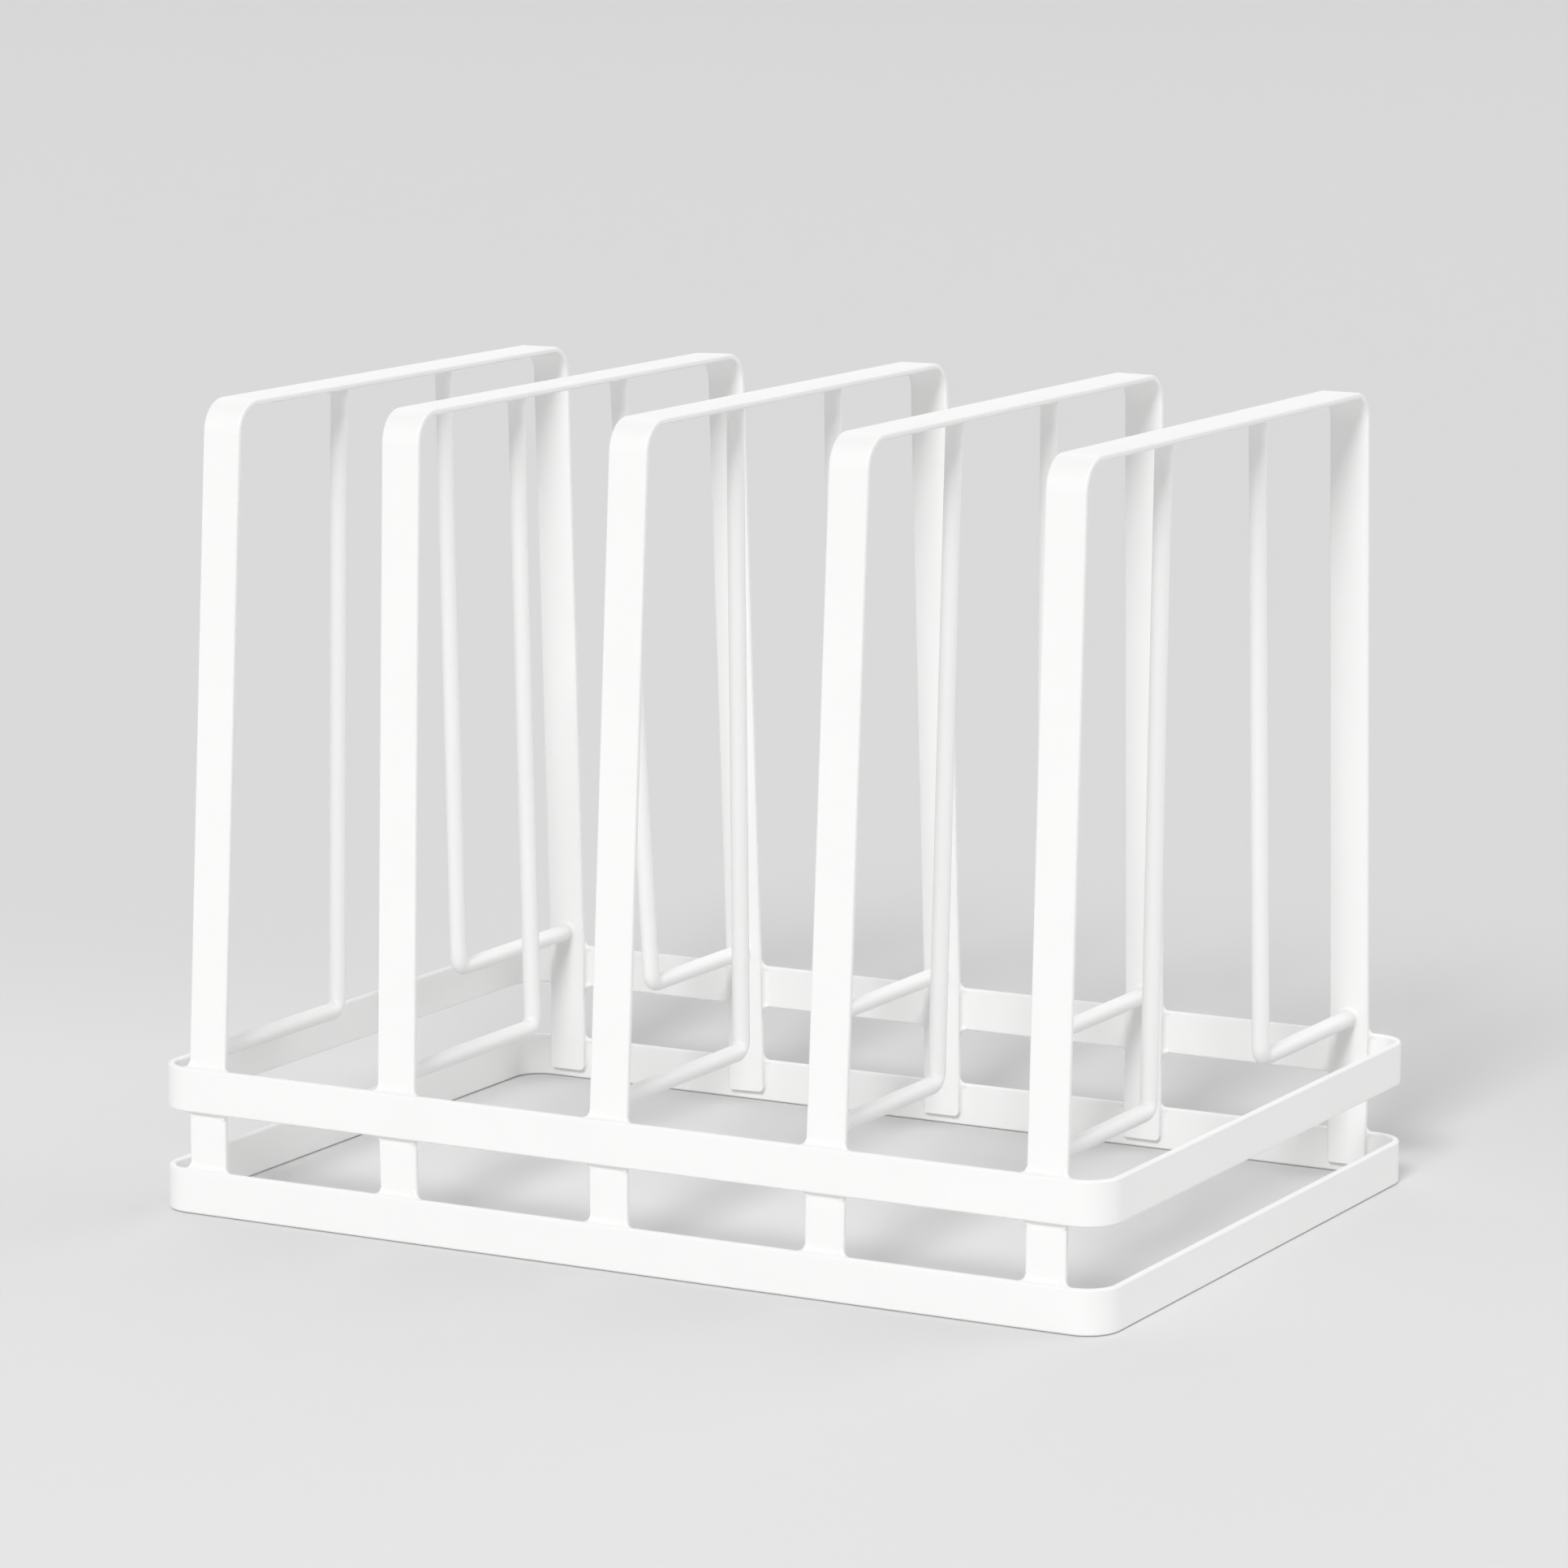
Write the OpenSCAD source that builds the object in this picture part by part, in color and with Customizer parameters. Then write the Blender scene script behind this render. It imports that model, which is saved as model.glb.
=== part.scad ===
// Wire pan organizer: two flat-strip rings carry five upright dividers, and each
// divider holds two J-bent wires. Millimetres, +X to the right, +Y to the back, +Z up.
// The origin lies on the standing surface, under the middle of the rings.

/* [Rings] */
// Outside width of both rings, left to right
ring_w = 300; // [280:1:420]
// Outside depth of both rings, front to back
ring_d = 211.4; // [180:0.2:300]
// Height of the strip that the rings are bent from
ring_strip_h = 12.8; // [9:0.2:18]
// Outside radius of the rings' corners
ring_corner_r = 10; // [4:0.5:10]
// Open height between the lower and the upper ring
ring_gap = 16.8; // [10:0.2:40]

/* [Flat strip] */
// Thickness of the strip in rings and dividers, coat included
strip_t = 2; // [1.6:0.1:3]
// Radius along the strip's long edges
strip_edge_r = 0.7; // [0.3:0.1:0.7]

/* [Dividers] */
// Width of the strip that the dividers are bent from
divider_strip_w = 12; // [8:0.5:18]
// Height of the dividers' tops above the surface
divider_h = 234; // [160:1:320]
// Outside radius of the dividers' top bends
divider_bend_r = 9.5; // [6:0.5:25]
// How far a leg's top lies inside its foot
leg_inset = 10; // [7:0.5:30]
// Radius of the slight bend where a leg leaves the upper ring
knee_r = 20; // [10:1:30]
// Distance from a ring's end to the middle of the nearest divider
end_inset = 17; // [15:0.5:40]
// Height of the feet's ends above the surface
foot_lift = 3; // [1:0.5:8]
// Radius of the corners at a foot's end
foot_corner_r = 1.5; // [0.5:0.1:3]

/* [Wires] */
// Diameter of the wire, coat included
wire_d = 5; // [3:0.5:7]
// Inside radius of a wire's bend
wire_bend_r = 1; // [0.5:0.5:12]
// Open height between the upper ring and a wire's level run
wire_run_gap = 2; // [1.5:0.5:20]
// Distance from the middle of the depth to a wire's top end
wire_top_y = 30; // [15:0.5:60]
// Distance from the middle of the depth to a wire's bend
wire_foot_y = 35; // [20:0.5:60]

/* [Welds] */
// Reach of the weld fillets in the corners where a leg crosses a ring
ring_weld_r = 1.5; // [0.8:0.1:2.5]
// Reach of the weld fillets along the straight seams between a leg and a ring
seam_weld_r = 0.9; // [0.5:0.1:1.2]
// Reach of the weld fillets round a wire's ends
wire_weld_r = 1; // [0.5:0.1:2]

/* [Hand-bent spread, dividers from left to right] */
// How far each divider's feet stand to the right of their even place
foot_shift = [-0.5, -3, -2, -1.5, -1.5]; // [-4:0.5:4]
// Sideways lean of each divider in degrees, to the right above zero
side_lean = [-0.15, -1.6, -0.4, 0.4, 0.15]; // [-2:0.05:2]
// Difference of each divider's height from the common one
height_diff = [-1.5, -1, 0.5, 1, -0.5]; // [-3:0.5:3]
// Difference of each front leg's inset from the common one
front_inset_diff = [2, 3, 3.5, -1.5, -4.5]; // [-6:0.5:6]
// Difference of each back leg's inset from the common one
back_inset_diff = [-0.5, -6, 0.5, 0, 1]; // [-6:0.5:6]
// Difference of each front wire's top from its common place
front_top_diff = [-0.5, -3, -1, 2, 7]; // [-10:0.5:10]
// Difference of each front wire's bend from its common place
front_foot_diff = [-1.5, -8, -9, 1.5, 4]; // [-10:0.5:10]
// Difference of each back wire's top from its common place
back_top_diff = [-1, 2, 0, -2, -4.5]; // [-10:0.5:10]
// Difference of each back wire's bend from its common place
back_foot_diff = [1, 9, 1, -2, 2.5]; // [-10:0.5:10]

/* [Hidden] */
$fn = 48;

FRONT = -1;
BACK = 1;
last = len(foot_shift);
coat = [0.96, 0.96, 0.95];

upper_z = ring_strip_h + ring_gap;
upper_top = upper_z + ring_strip_h;
// Face where the legs lie against the rings' inside, and the legs' middle
leg_face_y = ring_d / 2 - strip_t;
leg_y = leg_face_y - strip_t / 2;
run_z = upper_top + wire_run_gap + wire_d / 2;
wire_r = wire_d / 2;
pitch = (ring_w - 2 * end_inset) / (last - 1);
// Length by which a piece reaches into the one that it is then cut to fit
bite = strip_t / 2;
// Lap of straights into bends, and how much slimmer the bends are all round
lap = 0.05;
hair = 0.002;
// Lap of the fillets along a seam into those in its corners
seam_lap = 0.1;
$slim = 0;

// Places of divider i, counted from 1 at the left
function foot_x(i) = end_inset - ring_w / 2 + (i - 1) * pitch + foot_shift[i - 1];
function leg_x(i, z) = foot_x(i) + z * tan(side_lean[i - 1]);
function spread(i, side, front, back) = side == FRONT ? front[i - 1] : back[i - 1];
function inset(i, side) = leg_inset + spread(i, side, front_inset_diff, back_inset_diff);
function wire_top(i, side) = wire_top_y + spread(i, side, front_top_diff, back_top_diff);
function wire_foot(i, side) = wire_foot_y + spread(i, side, front_foot_diff, back_foot_diff);

// Middle line of one leg of divider i above the rings: knee, then top corner
function upper_leg(i, side) = [
    [side * leg_y, upper_top],
    [side * (leg_y - inset(i, side)), divider_h + height_diff[i - 1] - strip_t / 2]
];

// Corner points of divider i's middle line, from the front foot to the back foot
function divider_path(i) = [
    [FRONT * leg_y, foot_lift], upper_leg(i, FRONT)[0], upper_leg(i, FRONT)[1],
    upper_leg(i, BACK)[1], upper_leg(i, BACK)[0], [BACK * leg_y, foot_lift]
];

// Corner points of a wire's middle line, from inside the top bar to inside the leg
function wire_path(i, side) =
    let (leg = upper_leg(i, side), share = (run_z - leg[0][1]) / (leg[1][1] - leg[0][1]))
    [
        [side * wire_top(i, side), leg[1][1]],
        [side * wire_foot(i, side), run_z],
        leg[0] + share * (leg[1] - leg[0])
    ];

// Directions and turns along a flat path, in degrees, and where a bend starts
function heading(a, b) = atan2(b[1] - a[1], b[0] - a[0]);
function wrapped(angle) = angle - 360 * round(angle / 360);
function turn(p, k) = wrapped(heading(p[k], p[k + 1]) - heading(p[k - 1], p[k]));
function setback(p, r, k) = r[k] * tan(abs(turn(p, k)) / 2);
function toward(a, b, distance) = a + (b - a) * distance / norm(b - a);

// Section of the flat strip: thickness along X, width along Y, slimmer all round by $slim
module strip_section(width) {
    thick = strip_t - 2 * $slim;
    wide = width - 2 * $slim;
    square([thick, wide - 2 * strip_edge_r], center = true);
    square([thick - 2 * strip_edge_r, wide], center = true);
    for (sx = [-1, 1], sy = [-1, 1])
        translate([sx * (thick / 2 - strip_edge_r), sy * (wide / 2 - strip_edge_r)])
            circle(r = strip_edge_r);
}

// Round section of the wire, slimmer all round by $slim
module wire_section() {
    circle(r = wire_r - $slim);
}

// Straight bar in the XY plane from a to b. The child is its section, whose X lies
// across the bar and whose Y stands along Z.
module straight_bar(a, b) {
    translate([a[0], a[1], 0])
        rotate([0, 0, heading(a, b)])
            rotate([90, 0, 90])
                linear_extrude(norm(b - a))
                    children();
}

// Bar bent along the corner points p, with the middle radius r[k] at corner k. The
// straights run into the bends by a short lap, and the bends are a hair slimmer, so that
// all of it is one solid.
module bent_bar(p, r) {
    end = len(p) - 1;
    for (k = [0 : end - 1]) {
        start = k == 0 ? 0 : setback(p, r, k) - lap;
        stop = k + 1 == end ? 0 : setback(p, r, k + 1) - lap;
        straight_bar(toward(p[k], p[k + 1], start), toward(p[k + 1], p[k], stop))
            children();
    }
    for (k = [1 : end - 1]) {
        first = turn(p, k) > 0 ? heading(p[k - 1], p[k]) - 90 : heading(p[k], p[k + 1]) + 90;
        middle = first + abs(turn(p, k)) / 2;
        reach = r[k] / cos(turn(p, k) / 2);
        translate([p[k][0] - reach * cos(middle), p[k][1] - reach * sin(middle), 0])
            rotate([0, 0, first])
                rotate_extrude(angle = abs(turn(p, k)))
                    translate([r[k], 0])
                        let ($slim = hair)
                            children();
    }
}

// One ring, bent from a strip on edge and closed in the middle of its back
module ring() {
    x = (ring_w - strip_t) / 2;
    y = (ring_d - strip_t) / 2;
    r = ring_corner_r - strip_t / 2;
    translate([0, 0, ring_strip_h / 2])
        bent_bar([[0, y], [-x, y], [-x, -y], [x, -y], [x, y], [0, y]], [0, r, r, r, r, 0])
            strip_section(ring_strip_h);
}

// Puts a shape drawn in the plane of divider i, as (depth, height), in its place
module in_divider_plane(i) {
    translate([foot_x(i), 0, 0])
        rotate([0, side_lean[i - 1], 0])
            rotate([90, 0, 90])
                children();
}

// Outlines that are cut off to round the two corners of a foot's end
module foot_corners() {
    for (side = [-1, 1])
        translate([side * (divider_strip_w / 2 - foot_corner_r), foot_lift + foot_corner_r])
            difference() {
                translate([side * foot_corner_r, -foot_corner_r])
                    square(2 * foot_corner_r, center = true);
                circle(r = foot_corner_r);
            }
}

// Inverted U of flat strip, with legs that lean in above the upper ring
module divider_bar(i) {
    bend = divider_bend_r - strip_t / 2;
    difference() {
        in_divider_plane(i)
            bent_bar(divider_path(i), [0, knee_r, bend, bend, knee_r, 0])
                strip_section(divider_strip_w);
        for (side = [FRONT, BACK])
            translate([foot_x(i), side * leg_y, 0])
                rotate([90, 0, 0])
                    linear_extrude(2 * strip_t, center = true)
                        rotate(-side_lean[i - 1])
                            foot_corners();
    }
}

// Straight stretches of divider i that a wire's two ends lie against
module wire_seats(i, side) {
    leg = upper_leg(i, side);
    in_divider_plane(i) {
        straight_bar(leg[0], leg[1])
            strip_section(divider_strip_w);
        straight_bar(upper_leg(i, FRONT)[1], upper_leg(i, BACK)[1])
            strip_section(divider_strip_w);
    }
}

// J-bent wire, cut to lie against the divider's top bar and leg. Its path is followed in
// the sense that makes its bend a left turn.
module j_wire(i, side) {
    p = wire_path(i, side);
    difference() {
        in_divider_plane(i)
            bent_bar(side == FRONT ? [p[2], p[1], p[0]] : p, [0, wire_bend_r + wire_r, 0])
                wire_section();
        wire_seats(i, side);
    }
}

// Outline of a hollow fillet in the corner at the origin, between the X and Y axes. It
// bites past both, and its hollow crosses each at a slant, the given reach away.
module hollow_fillet(reach, past = bite) {
    centre = 1.25 * reach;
    side = 1.2 * reach + past;
    difference() {
        translate([-past, -past])
            square(side);
        translate([centre, centre])
            circle(r = norm([centre, centre - reach]));
    }
}

// Fillets where divider i's legs cross one edge of a ring, above it or below it: one in
// each corner, and one along the ring's edge from corner to corner
module crossing_fillets(i, z, up) {
    for (side = [FRONT, BACK]) {
        for (right = [-1, 1])
            translate([leg_x(i, z) + right * divider_strip_w / 2, side * leg_face_y, z])
                rotate([90, 0, 0])
                    linear_extrude(strip_t / 2, center = true)
                        rotate(atan2(up, right) - 45)
                            hollow_fillet(ring_weld_r, strip_edge_r);
        translate([leg_x(i, z), side * leg_face_y, z])
            rotate([90, 0, 90])
                linear_extrude(divider_strip_w + 2 * seam_lap, center = true)
                    rotate(atan2(up, side) - 45)
                        hollow_fillet(seam_weld_r);
    }
}

// Fillets along both sides of divider i's legs, for a ring standing at height z
module side_fillets(i, z) {
    for (side = [FRONT, BACK], right = [-1, 1])
        translate([foot_x(i), 0, 0])
            rotate([0, side_lean[i - 1], 0])
                translate([right * divider_strip_w / 2, side * leg_face_y, z - seam_lap])
                    linear_extrude(ring_strip_h + 2 * seam_lap)
                        rotate(atan2(-side, right) - 45)
                            hollow_fillet(seam_weld_r);
}

// Straight stretches of legs and ring about a crossing, for a ring standing at height z
module crossing_bars(i, z) {
    past = 2 * ring_weld_r;
    for (side = [FRONT, BACK]) {
        in_divider_plane(i)
            straight_bar([side * leg_y, z - past], [side * leg_y, z + ring_strip_h + past])
                strip_section(divider_strip_w);
        translate([leg_x(i, z), side * (ring_d - strip_t) / 2, z + ring_strip_h / 2])
            straight_bar([-divider_strip_w, 0], [divider_strip_w, 0])
                strip_section(ring_strip_h);
    }
}

// Space below the feet's straight sides, where no side fillet goes
module foot_space() {
    top = foot_lift + foot_corner_r;
    translate([0, 0, top - ring_strip_h / 2])
        cube([2 * ring_w, 2 * ring_d, ring_strip_h], center = true);
}

// Fillets round both ends of one wire, cut to fit the wire and what it lies against
module wire_end_fillets(i, side) {
    p = wire_path(i, side);
    difference() {
        in_divider_plane(i)
            for (end = [p[0], p[2]])
                translate(toward(end, p[1], bite))
                    rotate(heading(end, p[1]))
                        rotate([0, 90, 0])
                            rotate_extrude()
                                translate([wire_r, 0])
                                    hollow_fillet(wire_weld_r);
        wire_seats(i, side);
        in_divider_plane(i)
            for (end = [p[0], p[2]])
                straight_bar(toward(end, p[1], -bite), toward(end, p[1], strip_t + wire_weld_r))
                    wire_section();
    }
}

module lower_ring() {
    color(coat)
        ring();
}

module upper_ring() {
    color(coat)
        translate([0, 0, upper_z])
            ring();
}

module divider(i) {
    color(coat)
        divider_bar(i);
}

module front_wire(i) {
    color(coat)
        j_wire(i, FRONT);
}

module back_wire(i) {
    color(coat)
        j_wire(i, BACK);
}

module lower_ring_welds() {
    color(coat)
        for (i = [1 : last])
            difference() {
                union() {
                    crossing_fillets(i, ring_strip_h, 1);
                    side_fillets(i, 0);
                }
                crossing_bars(i, 0);
                foot_space();
            }
}

module upper_ring_welds() {
    color(coat)
        for (i = [1 : last])
            difference() {
                union() {
                    crossing_fillets(i, upper_top, 1);
                    crossing_fillets(i, upper_z, -1);
                    side_fillets(i, upper_z);
                }
                crossing_bars(i, upper_z);
            }
}

module wire_welds() {
    color(coat)
        for (i = [1 : last], side = [FRONT, BACK])
            wire_end_fillets(i, side);
}

lower_ring();
upper_ring();
divider(1);  // divider_1
divider(2);  // divider_2
divider(3);  // divider_3
divider(4);  // divider_4
divider(5);  // divider_5
front_wire(1);  // front_wire_1
front_wire(2);  // front_wire_2
front_wire(3);  // front_wire_3
front_wire(4);  // front_wire_4
front_wire(5);  // front_wire_5
back_wire(1);  // back_wire_1
back_wire(2);  // back_wire_2
back_wire(3);  // back_wire_3
back_wire(4);  // back_wire_4
back_wire(5);  // back_wire_5
lower_ring_welds();
upper_ring_welds();
wire_welds();
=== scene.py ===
# %% [markdown]
# A rack that holds pans on edge: flat steel strip and round wire, welded together and
# dipped in one smooth white coat. The imported model gives every strip and wire its true
# place, so this lesson is about looks. It sets a camera, a studio, the coat and the
# welds. The first cell loads the model, with helpers that read a part's box and hang a piece on a
# body.

# %% Load the imported model
import math

import bmesh
import bpy
from mathutils import Matrix, Vector


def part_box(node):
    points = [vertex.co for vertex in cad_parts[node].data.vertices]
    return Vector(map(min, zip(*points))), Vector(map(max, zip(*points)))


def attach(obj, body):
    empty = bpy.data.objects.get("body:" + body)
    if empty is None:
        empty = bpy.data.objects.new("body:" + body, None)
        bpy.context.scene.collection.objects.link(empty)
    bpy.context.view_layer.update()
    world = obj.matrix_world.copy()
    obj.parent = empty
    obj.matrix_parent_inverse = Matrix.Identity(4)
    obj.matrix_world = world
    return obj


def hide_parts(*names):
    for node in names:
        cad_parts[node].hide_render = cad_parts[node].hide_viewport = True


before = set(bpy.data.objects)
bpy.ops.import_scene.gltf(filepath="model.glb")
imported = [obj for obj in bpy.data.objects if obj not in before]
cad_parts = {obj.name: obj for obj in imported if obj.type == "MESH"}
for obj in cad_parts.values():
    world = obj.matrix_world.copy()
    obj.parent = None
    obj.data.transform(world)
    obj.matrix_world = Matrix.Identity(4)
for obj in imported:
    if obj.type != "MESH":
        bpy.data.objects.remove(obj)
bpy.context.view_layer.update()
MM = 0.001

# %% [markdown]
# The camera stands to the right of the rack's front and a little above it, far away and
# with a long lens, so that upright strips stay nearly parallel. A camera can be aimed with
# a constraint, or its matrix can be built from three directions. The matrix is used here
# because it also carries the small roll of a hand-set tripod.

# %% Camera
SENSOR_MM = 36
FOCAL_MM = 143.02
AIM_AT = Vector((-0.0028, 0, 0.1205))
AIM_DISTANCE = 1.7923
AZIMUTH = math.radians(27.92)
ELEVATION = math.radians(9.84)
ROLL = math.radians(0.31)


def camera_matrix(aim_at, distance, azimuth, elevation, roll):
    """Matrix of a camera that looks at a point from an azimuth, counted from the front."""
    back = Vector((math.sin(azimuth) * math.cos(elevation),
                   -math.cos(azimuth) * math.cos(elevation),
                   math.sin(elevation)))
    level = Vector((math.cos(azimuth), math.sin(azimuth), 0))
    upright = back.cross(level)
    right = level * math.cos(roll) + upright * math.sin(roll)
    up = back.cross(right)
    turned = Matrix((right, up, back)).transposed().to_4x4()
    return Matrix.Translation(aim_at + back * distance) @ turned


scene = bpy.context.scene
camera_data = bpy.data.cameras.new("camera")
camera_data.sensor_width = SENSOR_MM
camera_data.lens = FOCAL_MM
camera = bpy.data.objects.new("camera", camera_data)
camera.matrix_world = camera_matrix(AIM_AT, AIM_DISTANCE, AZIMUTH, ELEVATION, ROLL)
scene.collection.objects.link(camera)
scene.camera = camera
print("camera at", [round(v, 3) for v in camera.location])

# %% [markdown]
# Small goods are photographed on a sweep, a floor that curves up into a wall with no edge.
# A plane bent at one side would do for one view. Here the sweep's profile is spun all the
# way round, into a wide shallow bowl, so that there is the same soft ground behind the rack
# from every side. A welded ring is never quite flat and stands on a few high spots, so the
# floor lies a hair lower, and a dark line shows under the ring. The gap must stay small:
# light gets in under a wider one, and the line turns pale again.

# %% Sweep
SWEEP_RADIUS = 14.0
COVE_RADIUS = 3.0
WALL_TOP = 3.6
HAIR_GAP = 0.2 * MM
COVE_STEPS = 16
SWEEP_STEPS = 96
SEAM_MERGE = 0.1 * MM


def make_sweep():
    """Bowl of floor, cove and wall, spun from its profile."""
    mesh = bmesh.new()
    profile = [mesh.verts.new((0, 0, -HAIR_GAP)),
               mesh.verts.new((SWEEP_RADIUS - COVE_RADIUS, 0, -HAIR_GAP))]
    for step in range(1, COVE_STEPS + 1):
        angle = math.radians(90) * step / COVE_STEPS
        x = SWEEP_RADIUS - COVE_RADIUS + COVE_RADIUS * math.sin(angle)
        z = COVE_RADIUS - COVE_RADIUS * math.cos(angle) - HAIR_GAP
        profile.append(mesh.verts.new((x, 0, z)))
    profile.append(mesh.verts.new((SWEEP_RADIUS, 0, WALL_TOP)))
    edges = [mesh.edges.new(pair) for pair in zip(profile, profile[1:])]
    bmesh.ops.spin(mesh, geom=profile + edges, cent=(0, 0, 0), axis=(0, 0, 1), dvec=(0, 0, 0),
                   angle=math.radians(360), steps=SWEEP_STEPS, use_merge=True,
                   use_normal_flip=False, use_duplicate=False)
    bmesh.ops.remove_doubles(mesh, verts=mesh.verts, dist=SEAM_MERGE)
    bmesh.ops.recalc_face_normals(mesh, faces=mesh.faces)
    if mesh.faces[0].normal.z < 0:
        bmesh.ops.reverse_faces(mesh, faces=mesh.faces)
    for face in mesh.faces:
        face.smooth = True
    data = bpy.data.meshes.new("sweep")
    mesh.to_mesh(data)
    mesh.free()
    sweep = bpy.data.objects.new("sweep", data)
    scene.collection.objects.link(sweep)
    return sweep


sweep = make_sweep()
print("sweep of", len(sweep.data.polygons), "faces")

# %% [markdown]
# The sweep is matt pale grey paper. It needs a diffuse surface with very little contrast,
# so that the rack's soft shadows and one painted falloff are all that is drawn on it. Behind
# the rack, and far from it on all sides, painted shade makes it a shade darker. This stands in
# for the lamps' light falling off away from them. The white rack stands out against that from
# every side. A picture of paper could be laid on the floor, but a tone worked out from each
# point's place has no seam and no end.

# %% Paper of the sweep
PAPER_NEAR = 0.78
# Far tone of the paper: painted shade for the lamps' light falling off away from the rack
PAPER_PAINTED_SHADE_FAR = 0.685
FADE_START_Y = -0.16
FADE_END_Y = 0.28
FADE_START_RADIUS = 0.6
FADE_END_RADIUS = 1.6
PAPER_ROUGHNESS = 0.9
PAPER_SHEEN = 0.1


def add_fade(tree, start, end):
    """Node that rises smoothly from 0 to 1 between two values."""
    fade = tree.nodes.new("ShaderNodeMapRange")
    fade.interpolation_type = "SMOOTHSTEP"
    fade.inputs["From Min"].default_value = start
    fade.inputs["From Max"].default_value = end
    return fade


def paper_material():
    """Matt paper, with painted shade making it darker behind the rack and far from it."""
    material = bpy.data.materials.new("paper")
    material.use_nodes = True
    tree = material.node_tree
    shader = tree.nodes["Principled BSDF"]
    shader.inputs["Roughness"].default_value = PAPER_ROUGHNESS
    shader.inputs["Specular IOR Level"].default_value = PAPER_SHEEN
    place = tree.nodes.new("ShaderNodeTexCoord")
    axes = tree.nodes.new("ShaderNodeSeparateXYZ")
    radius = tree.nodes.new("ShaderNodeVectorMath")
    radius.operation = "LENGTH"
    # Painted shade: masks that darken the paper behind the rack and far from it, as fading light
    # would
    behind = add_fade(tree, FADE_START_Y, FADE_END_Y)
    around = add_fade(tree, FADE_START_RADIUS, FADE_END_RADIUS)
    darker = tree.nodes.new("ShaderNodeMath")
    darker.operation = "MAXIMUM"
    tone = tree.nodes.new("ShaderNodeMapRange")
    tone.inputs["To Min"].default_value = PAPER_NEAR
    tone.inputs["To Max"].default_value = PAPER_PAINTED_SHADE_FAR

    link = tree.links.new
    link(place.outputs["Object"], axes.inputs["Vector"])
    link(place.outputs["Object"], radius.inputs[0])
    link(axes.outputs["Y"], behind.inputs["Value"])
    link(radius.outputs["Value"], around.inputs["Value"])
    link(behind.outputs["Result"], darker.inputs[0])
    link(around.outputs["Result"], darker.inputs[1])
    link(darker.outputs["Value"], tone.inputs["Value"])
    link(tone.outputs["Result"], shader.inputs["Base Color"])
    return material


sweep.data.materials.append(paper_material())
print("paper tone", PAPER_NEAR, "to", PAPER_PAINTED_SHADE_FAR)

# %% [markdown]
# The main lamp shines from well above the front and a little to its right, and throws the
# rack's shadow straight back. Two weaker and very wide lamps from behind keep the backs of
# wires and legs nearly as pale as their fronts. Area lamps could do this too. Lamps of the
# sun kind are used, with a wide angle for softness, because their light doesn't fade across
# the sweep. The sky stands in for a white room, and the pale floor throws its light up
# under the bars.

# %% Lamps and sky
SKY_STRENGTH = 0.415


def add_lamp(name, coming_from, strength, spread):
    """Soft lamp whose light comes from one direction, spread over an angle in degrees."""
    data = bpy.data.lights.new(name, "SUN")
    data.energy = strength
    data.angle = math.radians(spread)
    lamp = bpy.data.objects.new(name, data)
    lamp.rotation_euler = Vector(coming_from).to_track_quat("Z", "Y").to_euler()
    scene.collection.objects.link(lamp)
    return lamp


add_lamp("main_lamp", coming_from=(0.13, -0.80, 0.585), strength=1.79, spread=16)
add_lamp("back_right_lamp", coming_from=(0.66, 0.66, 0.37), strength=1.48, spread=60)
add_lamp("back_left_lamp", coming_from=(-0.66, 0.66, 0.37), strength=0.90, spread=60)
world = bpy.data.worlds.new("sky")
world.use_nodes = True
world.node_tree.nodes["Background"].inputs["Color"].default_value = (1, 1, 1, 1)
world.node_tree.nodes["Background"].inputs["Strength"].default_value = SKY_STRENGTH
scene.world = world
scene.view_settings.view_transform = "Standard"

# %% [markdown]
# The coat is a powder that was melted onto the steel: white, satin, and slightly uneven
# like the skin of an orange. Paint lies over every strip, wire and weld alike, so one
# material dresses them all. A single flat colour would look like plastic up close, so its
# pattern is made from noise at two sizes. The large one varies tone and gloss, and the small
# one bends the surface a little.

# %% Satin coat
COAT_WHITE = (0.905, 0.905, 0.9)
COAT_SHADED = (0.885, 0.885, 0.88)
COAT_IOR = 1.5
CLOUD_SCALE = 45
CLOUD_DETAIL = 3
SMOOTHEST = 0.44
ROUGHEST = 0.54
PEEL_SCALE = 900
PEEL_DETAIL = 2
PEEL_DEPTH = 0.05 * MM
PEEL_STRENGTH = 0.06


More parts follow.
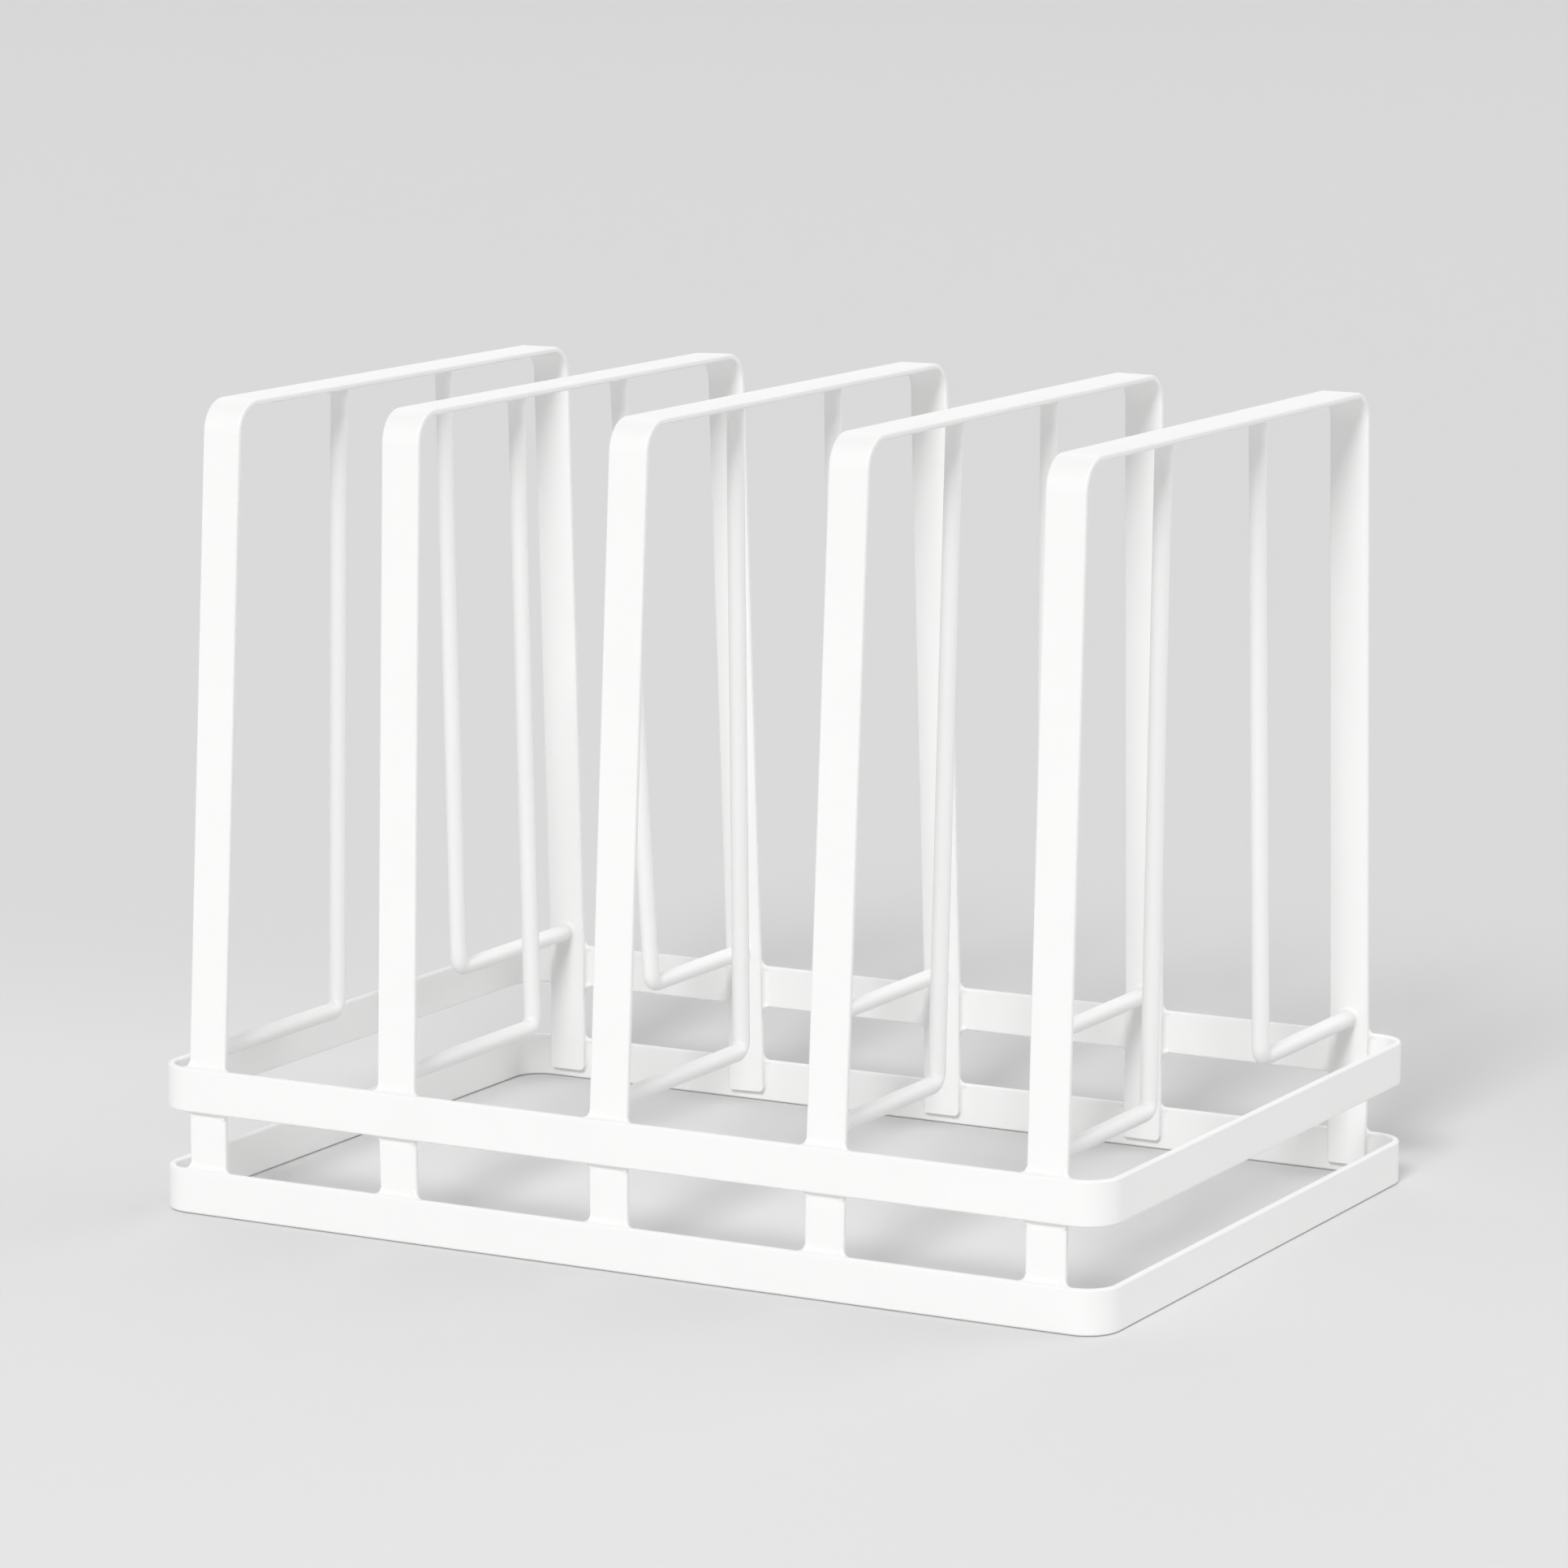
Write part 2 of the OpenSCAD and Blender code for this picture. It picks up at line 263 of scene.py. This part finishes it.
def coat_material():
    """Satin white powder coat with a fine uneven skin."""
    material = bpy.data.materials.new("satin_coat")
    material.use_nodes = True
    tree = material.node_tree
    nodes = tree.nodes
    shader = nodes["Principled BSDF"]
    shader.inputs["IOR"].default_value = COAT_IOR
    place = nodes.new("ShaderNodeTexCoord")

    clouds = nodes.new("ShaderNodeTexNoise")
    clouds.inputs["Scale"].default_value = CLOUD_SCALE
    clouds.inputs["Detail"].default_value = CLOUD_DETAIL
    tone = nodes.new("ShaderNodeMix")
    tone.data_type = "RGBA"
    tone.inputs["A"].default_value = (*COAT_SHADED, 1)
    tone.inputs["B"].default_value = (*COAT_WHITE, 1)
    gloss = nodes.new("ShaderNodeMapRange")
    gloss.inputs["To Min"].default_value = SMOOTHEST
    gloss.inputs["To Max"].default_value = ROUGHEST

    peel = nodes.new("ShaderNodeTexNoise")
    peel.inputs["Scale"].default_value = PEEL_SCALE
    peel.inputs["Detail"].default_value = PEEL_DETAIL
    skin = nodes.new("ShaderNodeBump")
    skin.inputs["Strength"].default_value = PEEL_STRENGTH
    skin.inputs["Distance"].default_value = PEEL_DEPTH

    link = tree.links.new
    link(place.outputs["Object"], clouds.inputs["Vector"])
    link(place.outputs["Object"], peel.inputs["Vector"])
    link(clouds.outputs["Fac"], tone.inputs["Factor"])
    link(clouds.outputs["Fac"], gloss.inputs["Value"])
    link(tone.outputs["Result"], shader.inputs["Base Color"])
    link(gloss.outputs["Result"], shader.inputs["Roughness"])
    link(peel.outputs["Fac"], skin.inputs["Height"])
    link(skin.outputs["Normal"], shader.inputs["Normal"])
    return material


coat = coat_material()
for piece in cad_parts.values():
    piece.data.materials.clear()
    piece.data.materials.append(coat)
print("coated", len(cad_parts), "nodes")

# %% [markdown]
# The melted coat runs into every weld, so that on the real rack no step or notch is left
# where two bars meet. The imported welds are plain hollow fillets, which end in small steps.
# Such a joint could be sculpted by hand, or the whole rack could be fused into one skin,
# but thin bars would then need millions of faces. Here only the ends of the bars near each
# joint are copied, with what remains of a bar closed where it was cut.

# %% Copies of bars near a joint
DOUBLES_APART = 0.001 * MM
CUT_TOLERANCE = 0.0001 * MM


def merged_copy(name):
    """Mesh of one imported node, with the doubles along its hard edges merged."""
    mesh = bmesh.new()
    mesh.from_mesh(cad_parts[name].data)
    bmesh.ops.remove_doubles(mesh, verts=mesh.verts, dist=DOUBLES_APART)
    return mesh


def cut_out(name, low, high):
    """What lies of a node between two corners, closed where it was cut."""
    mesh = merged_copy(name)
    for axis in range(3):
        for corner, way in ((low, -1), (high, 1)):
            normal = [0, 0, 0]
            normal[axis] = way
            everything = mesh.verts[:] + mesh.edges[:] + mesh.faces[:]
            bmesh.ops.bisect_plane(mesh, geom=everything, dist=CUT_TOLERANCE, plane_co=corner,
                                   plane_no=normal, clear_outer=True)
            rim = [edge for edge in mesh.edges if edge.is_boundary]
            if rim:
                bmesh.ops.holes_fill(mesh, edges=rim, sides=0)
    return mesh


def add_to(target, part):
    """Joins one mesh to another, and frees it."""
    data = bpy.data.meshes.new("part")
    part.to_mesh(data)
    part.free()
    target.from_mesh(data)
    bpy.data.meshes.remove(data)


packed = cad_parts["divider_1"].data
sample = merged_copy("divider_1")
print("divider_1:", len(packed.vertices), "points as packed,", len(sample.verts), "when merged")
sample.free()

# %% [markdown]
# A union of the copies would leave every corner sharp. They are fused with a voxel remesh
# instead, which forgets where one bar ends and the next begins. Relaxing the skin fills its
# hollow corners and wears down its edges, much as surface tension does to molten powder.
# Last, the skin is sunk by a hair. All of it that was flat or an edge now hides inside the
# packed bars, and only the filled corners stand out of them.

# %% Fuse, relax and sink
VOXEL = 0.4 * MM
RELAX_FACTOR = 0.5
RELAX_PASSES = 14
SINK = 0.02 * MM


def fused_skin(name, mesh):
    """Object whose mesh is the fused, relaxed and slightly sunk skin of some closed parts."""
    data = bpy.data.meshes.new(name)
    mesh.to_mesh(data)
    mesh.free()
    rough = bpy.data.objects.new(name, data)
    scene.collection.objects.link(rough)
    fuse = rough.modifiers.new("fuse", "REMESH")
    fuse.mode = "VOXEL"
    fuse.voxel_size = VOXEL
    relax = rough.modifiers.new("relax", "SMOOTH")
    relax.factor = RELAX_FACTOR
    relax.iterations = RELAX_PASSES
    result = bpy.data.meshes.new_from_object(
        rough.evaluated_get(bpy.context.evaluated_depsgraph_get()))
    bpy.data.objects.remove(rough)
    bpy.data.meshes.remove(data)
    skin = bmesh.new()
    skin.from_mesh(result)
    skin.normal_update()
    for vert in skin.verts:
        vert.co -= vert.normal * SINK
    for face in skin.faces:
        face.smooth = True
    skin.to_mesh(result)
    skin.free()
    piece = bpy.data.objects.new(name, result)
    piece.data.materials.append(coat)
    scene.collection.objects.link(piece)
    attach(piece, "root")
    return piece


print("a skin's voxels are", round(VOXEL / MM, 2), "mm, and it is sunk by", round(SINK / MM, 2), "mm")

# %% [markdown]
# A leg crosses each ring at the front and at the back, and on the real rack it is welded
# there all round. The joints' places could be written down as a list. They are read from
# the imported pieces, so that they follow any change: the ring gives the height of a joint
# and the leg gives its place along the ring. A few millimetres of each bar beyond the joint
# are enough, as that is how far a weld reaches.

# %% Blends where legs cross the rings
DIVIDERS = [name for name in sorted(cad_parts) if name.startswith("divider")]
ALONG_RING = 5 * MM
ALONG_LEG = 5 * MM
OUT_OF_RING = 4 * MM
INTO_RING = 12 * MM


def verts_where(name, test):
    """Places of a node's vertices that pass a test."""
    return [v.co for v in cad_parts[name].data.vertices if test(v.co)]


def extent(places, axis):
    """Least and greatest coordinate of some places along an axis."""
    values = [place[axis] for place in places]
    return min(values), max(values)


def ring_blends(ring, welds):
    """One piece for all the joints of one ring with the legs."""
    joints = bmesh.new()
    ring_low, ring_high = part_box(ring)
    for divider in DIVIDERS:
        for side, wall in ((-1, ring_low[1]), (1, ring_high[1])):
            leg = verts_where(divider, lambda co: co.y * side > 0 and co.z < ring_high[2])
            left, right = extent(leg, 0)
            near, far = sorted((wall + side * OUT_OF_RING, wall - side * INTO_RING))
            low = Vector((left - ALONG_RING, near, ring_low[2] - ALONG_LEG))
            high = Vector((right + ALONG_RING, far, ring_high[2] + ALONG_LEG))
            for node in (ring, divider, welds):
                add_to(joints, cut_out(node, low, high))
    piece = fused_skin(welds.replace("welds", "blends"), joints)
    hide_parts(welds)
    return piece


for ring in ("lower_ring", "upper_ring"):
    blends = ring_blends(ring, ring + "_welds")
    print(blends.name, len(blends.data.polygons), "faces")

# %% [markdown]
# Each wire is welded at both ends, under the top bar and against the leg, with the coat run
# into a small collar round it. A collar could be spun from a curve, but the same fusing
# makes it here and also fits the bars' rounded edges. A wire's ends are where its mesh is
# highest and where it is farthest out.

# %% Blends at the wires' ends
WIRES = [name for name in sorted(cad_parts) if "_wire_" in name]
ROUND_WIRE = 8 * MM
END_DEPTH = 0.5 * MM


def wire_joint_places(wire):
    """Middles of a wire's top end and of its end at the leg."""
    low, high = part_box(wire)
    side = 1 if high[1] + low[1] > 0 else -1
    out = max(high[1] * side, low[1] * side)
    top = verts_where(wire, lambda co: co.z > high[2] - END_DEPTH)
    far = verts_where(wire, lambda co: co.y * side > out - END_DEPTH)
    return sum(top, Vector()) / len(top), sum(far, Vector()) / len(far)


def wire_blends():
    """One piece for both ends of all the wires."""
    joints = bmesh.new()
    reach = Vector((ROUND_WIRE, ROUND_WIRE, ROUND_WIRE))
    for wire in WIRES:
        divider = "divider" + wire[-2:]
        for place in wire_joint_places(wire):
            for node in (wire, divider, "wire_welds"):
                add_to(joints, cut_out(node, place - reach, place + reach))
    piece = fused_skin("wire_blends", joints)
    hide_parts("wire_welds")
    return piece


blends = wire_blends()
print(blends.name, len(blends.data.polygons), "faces")
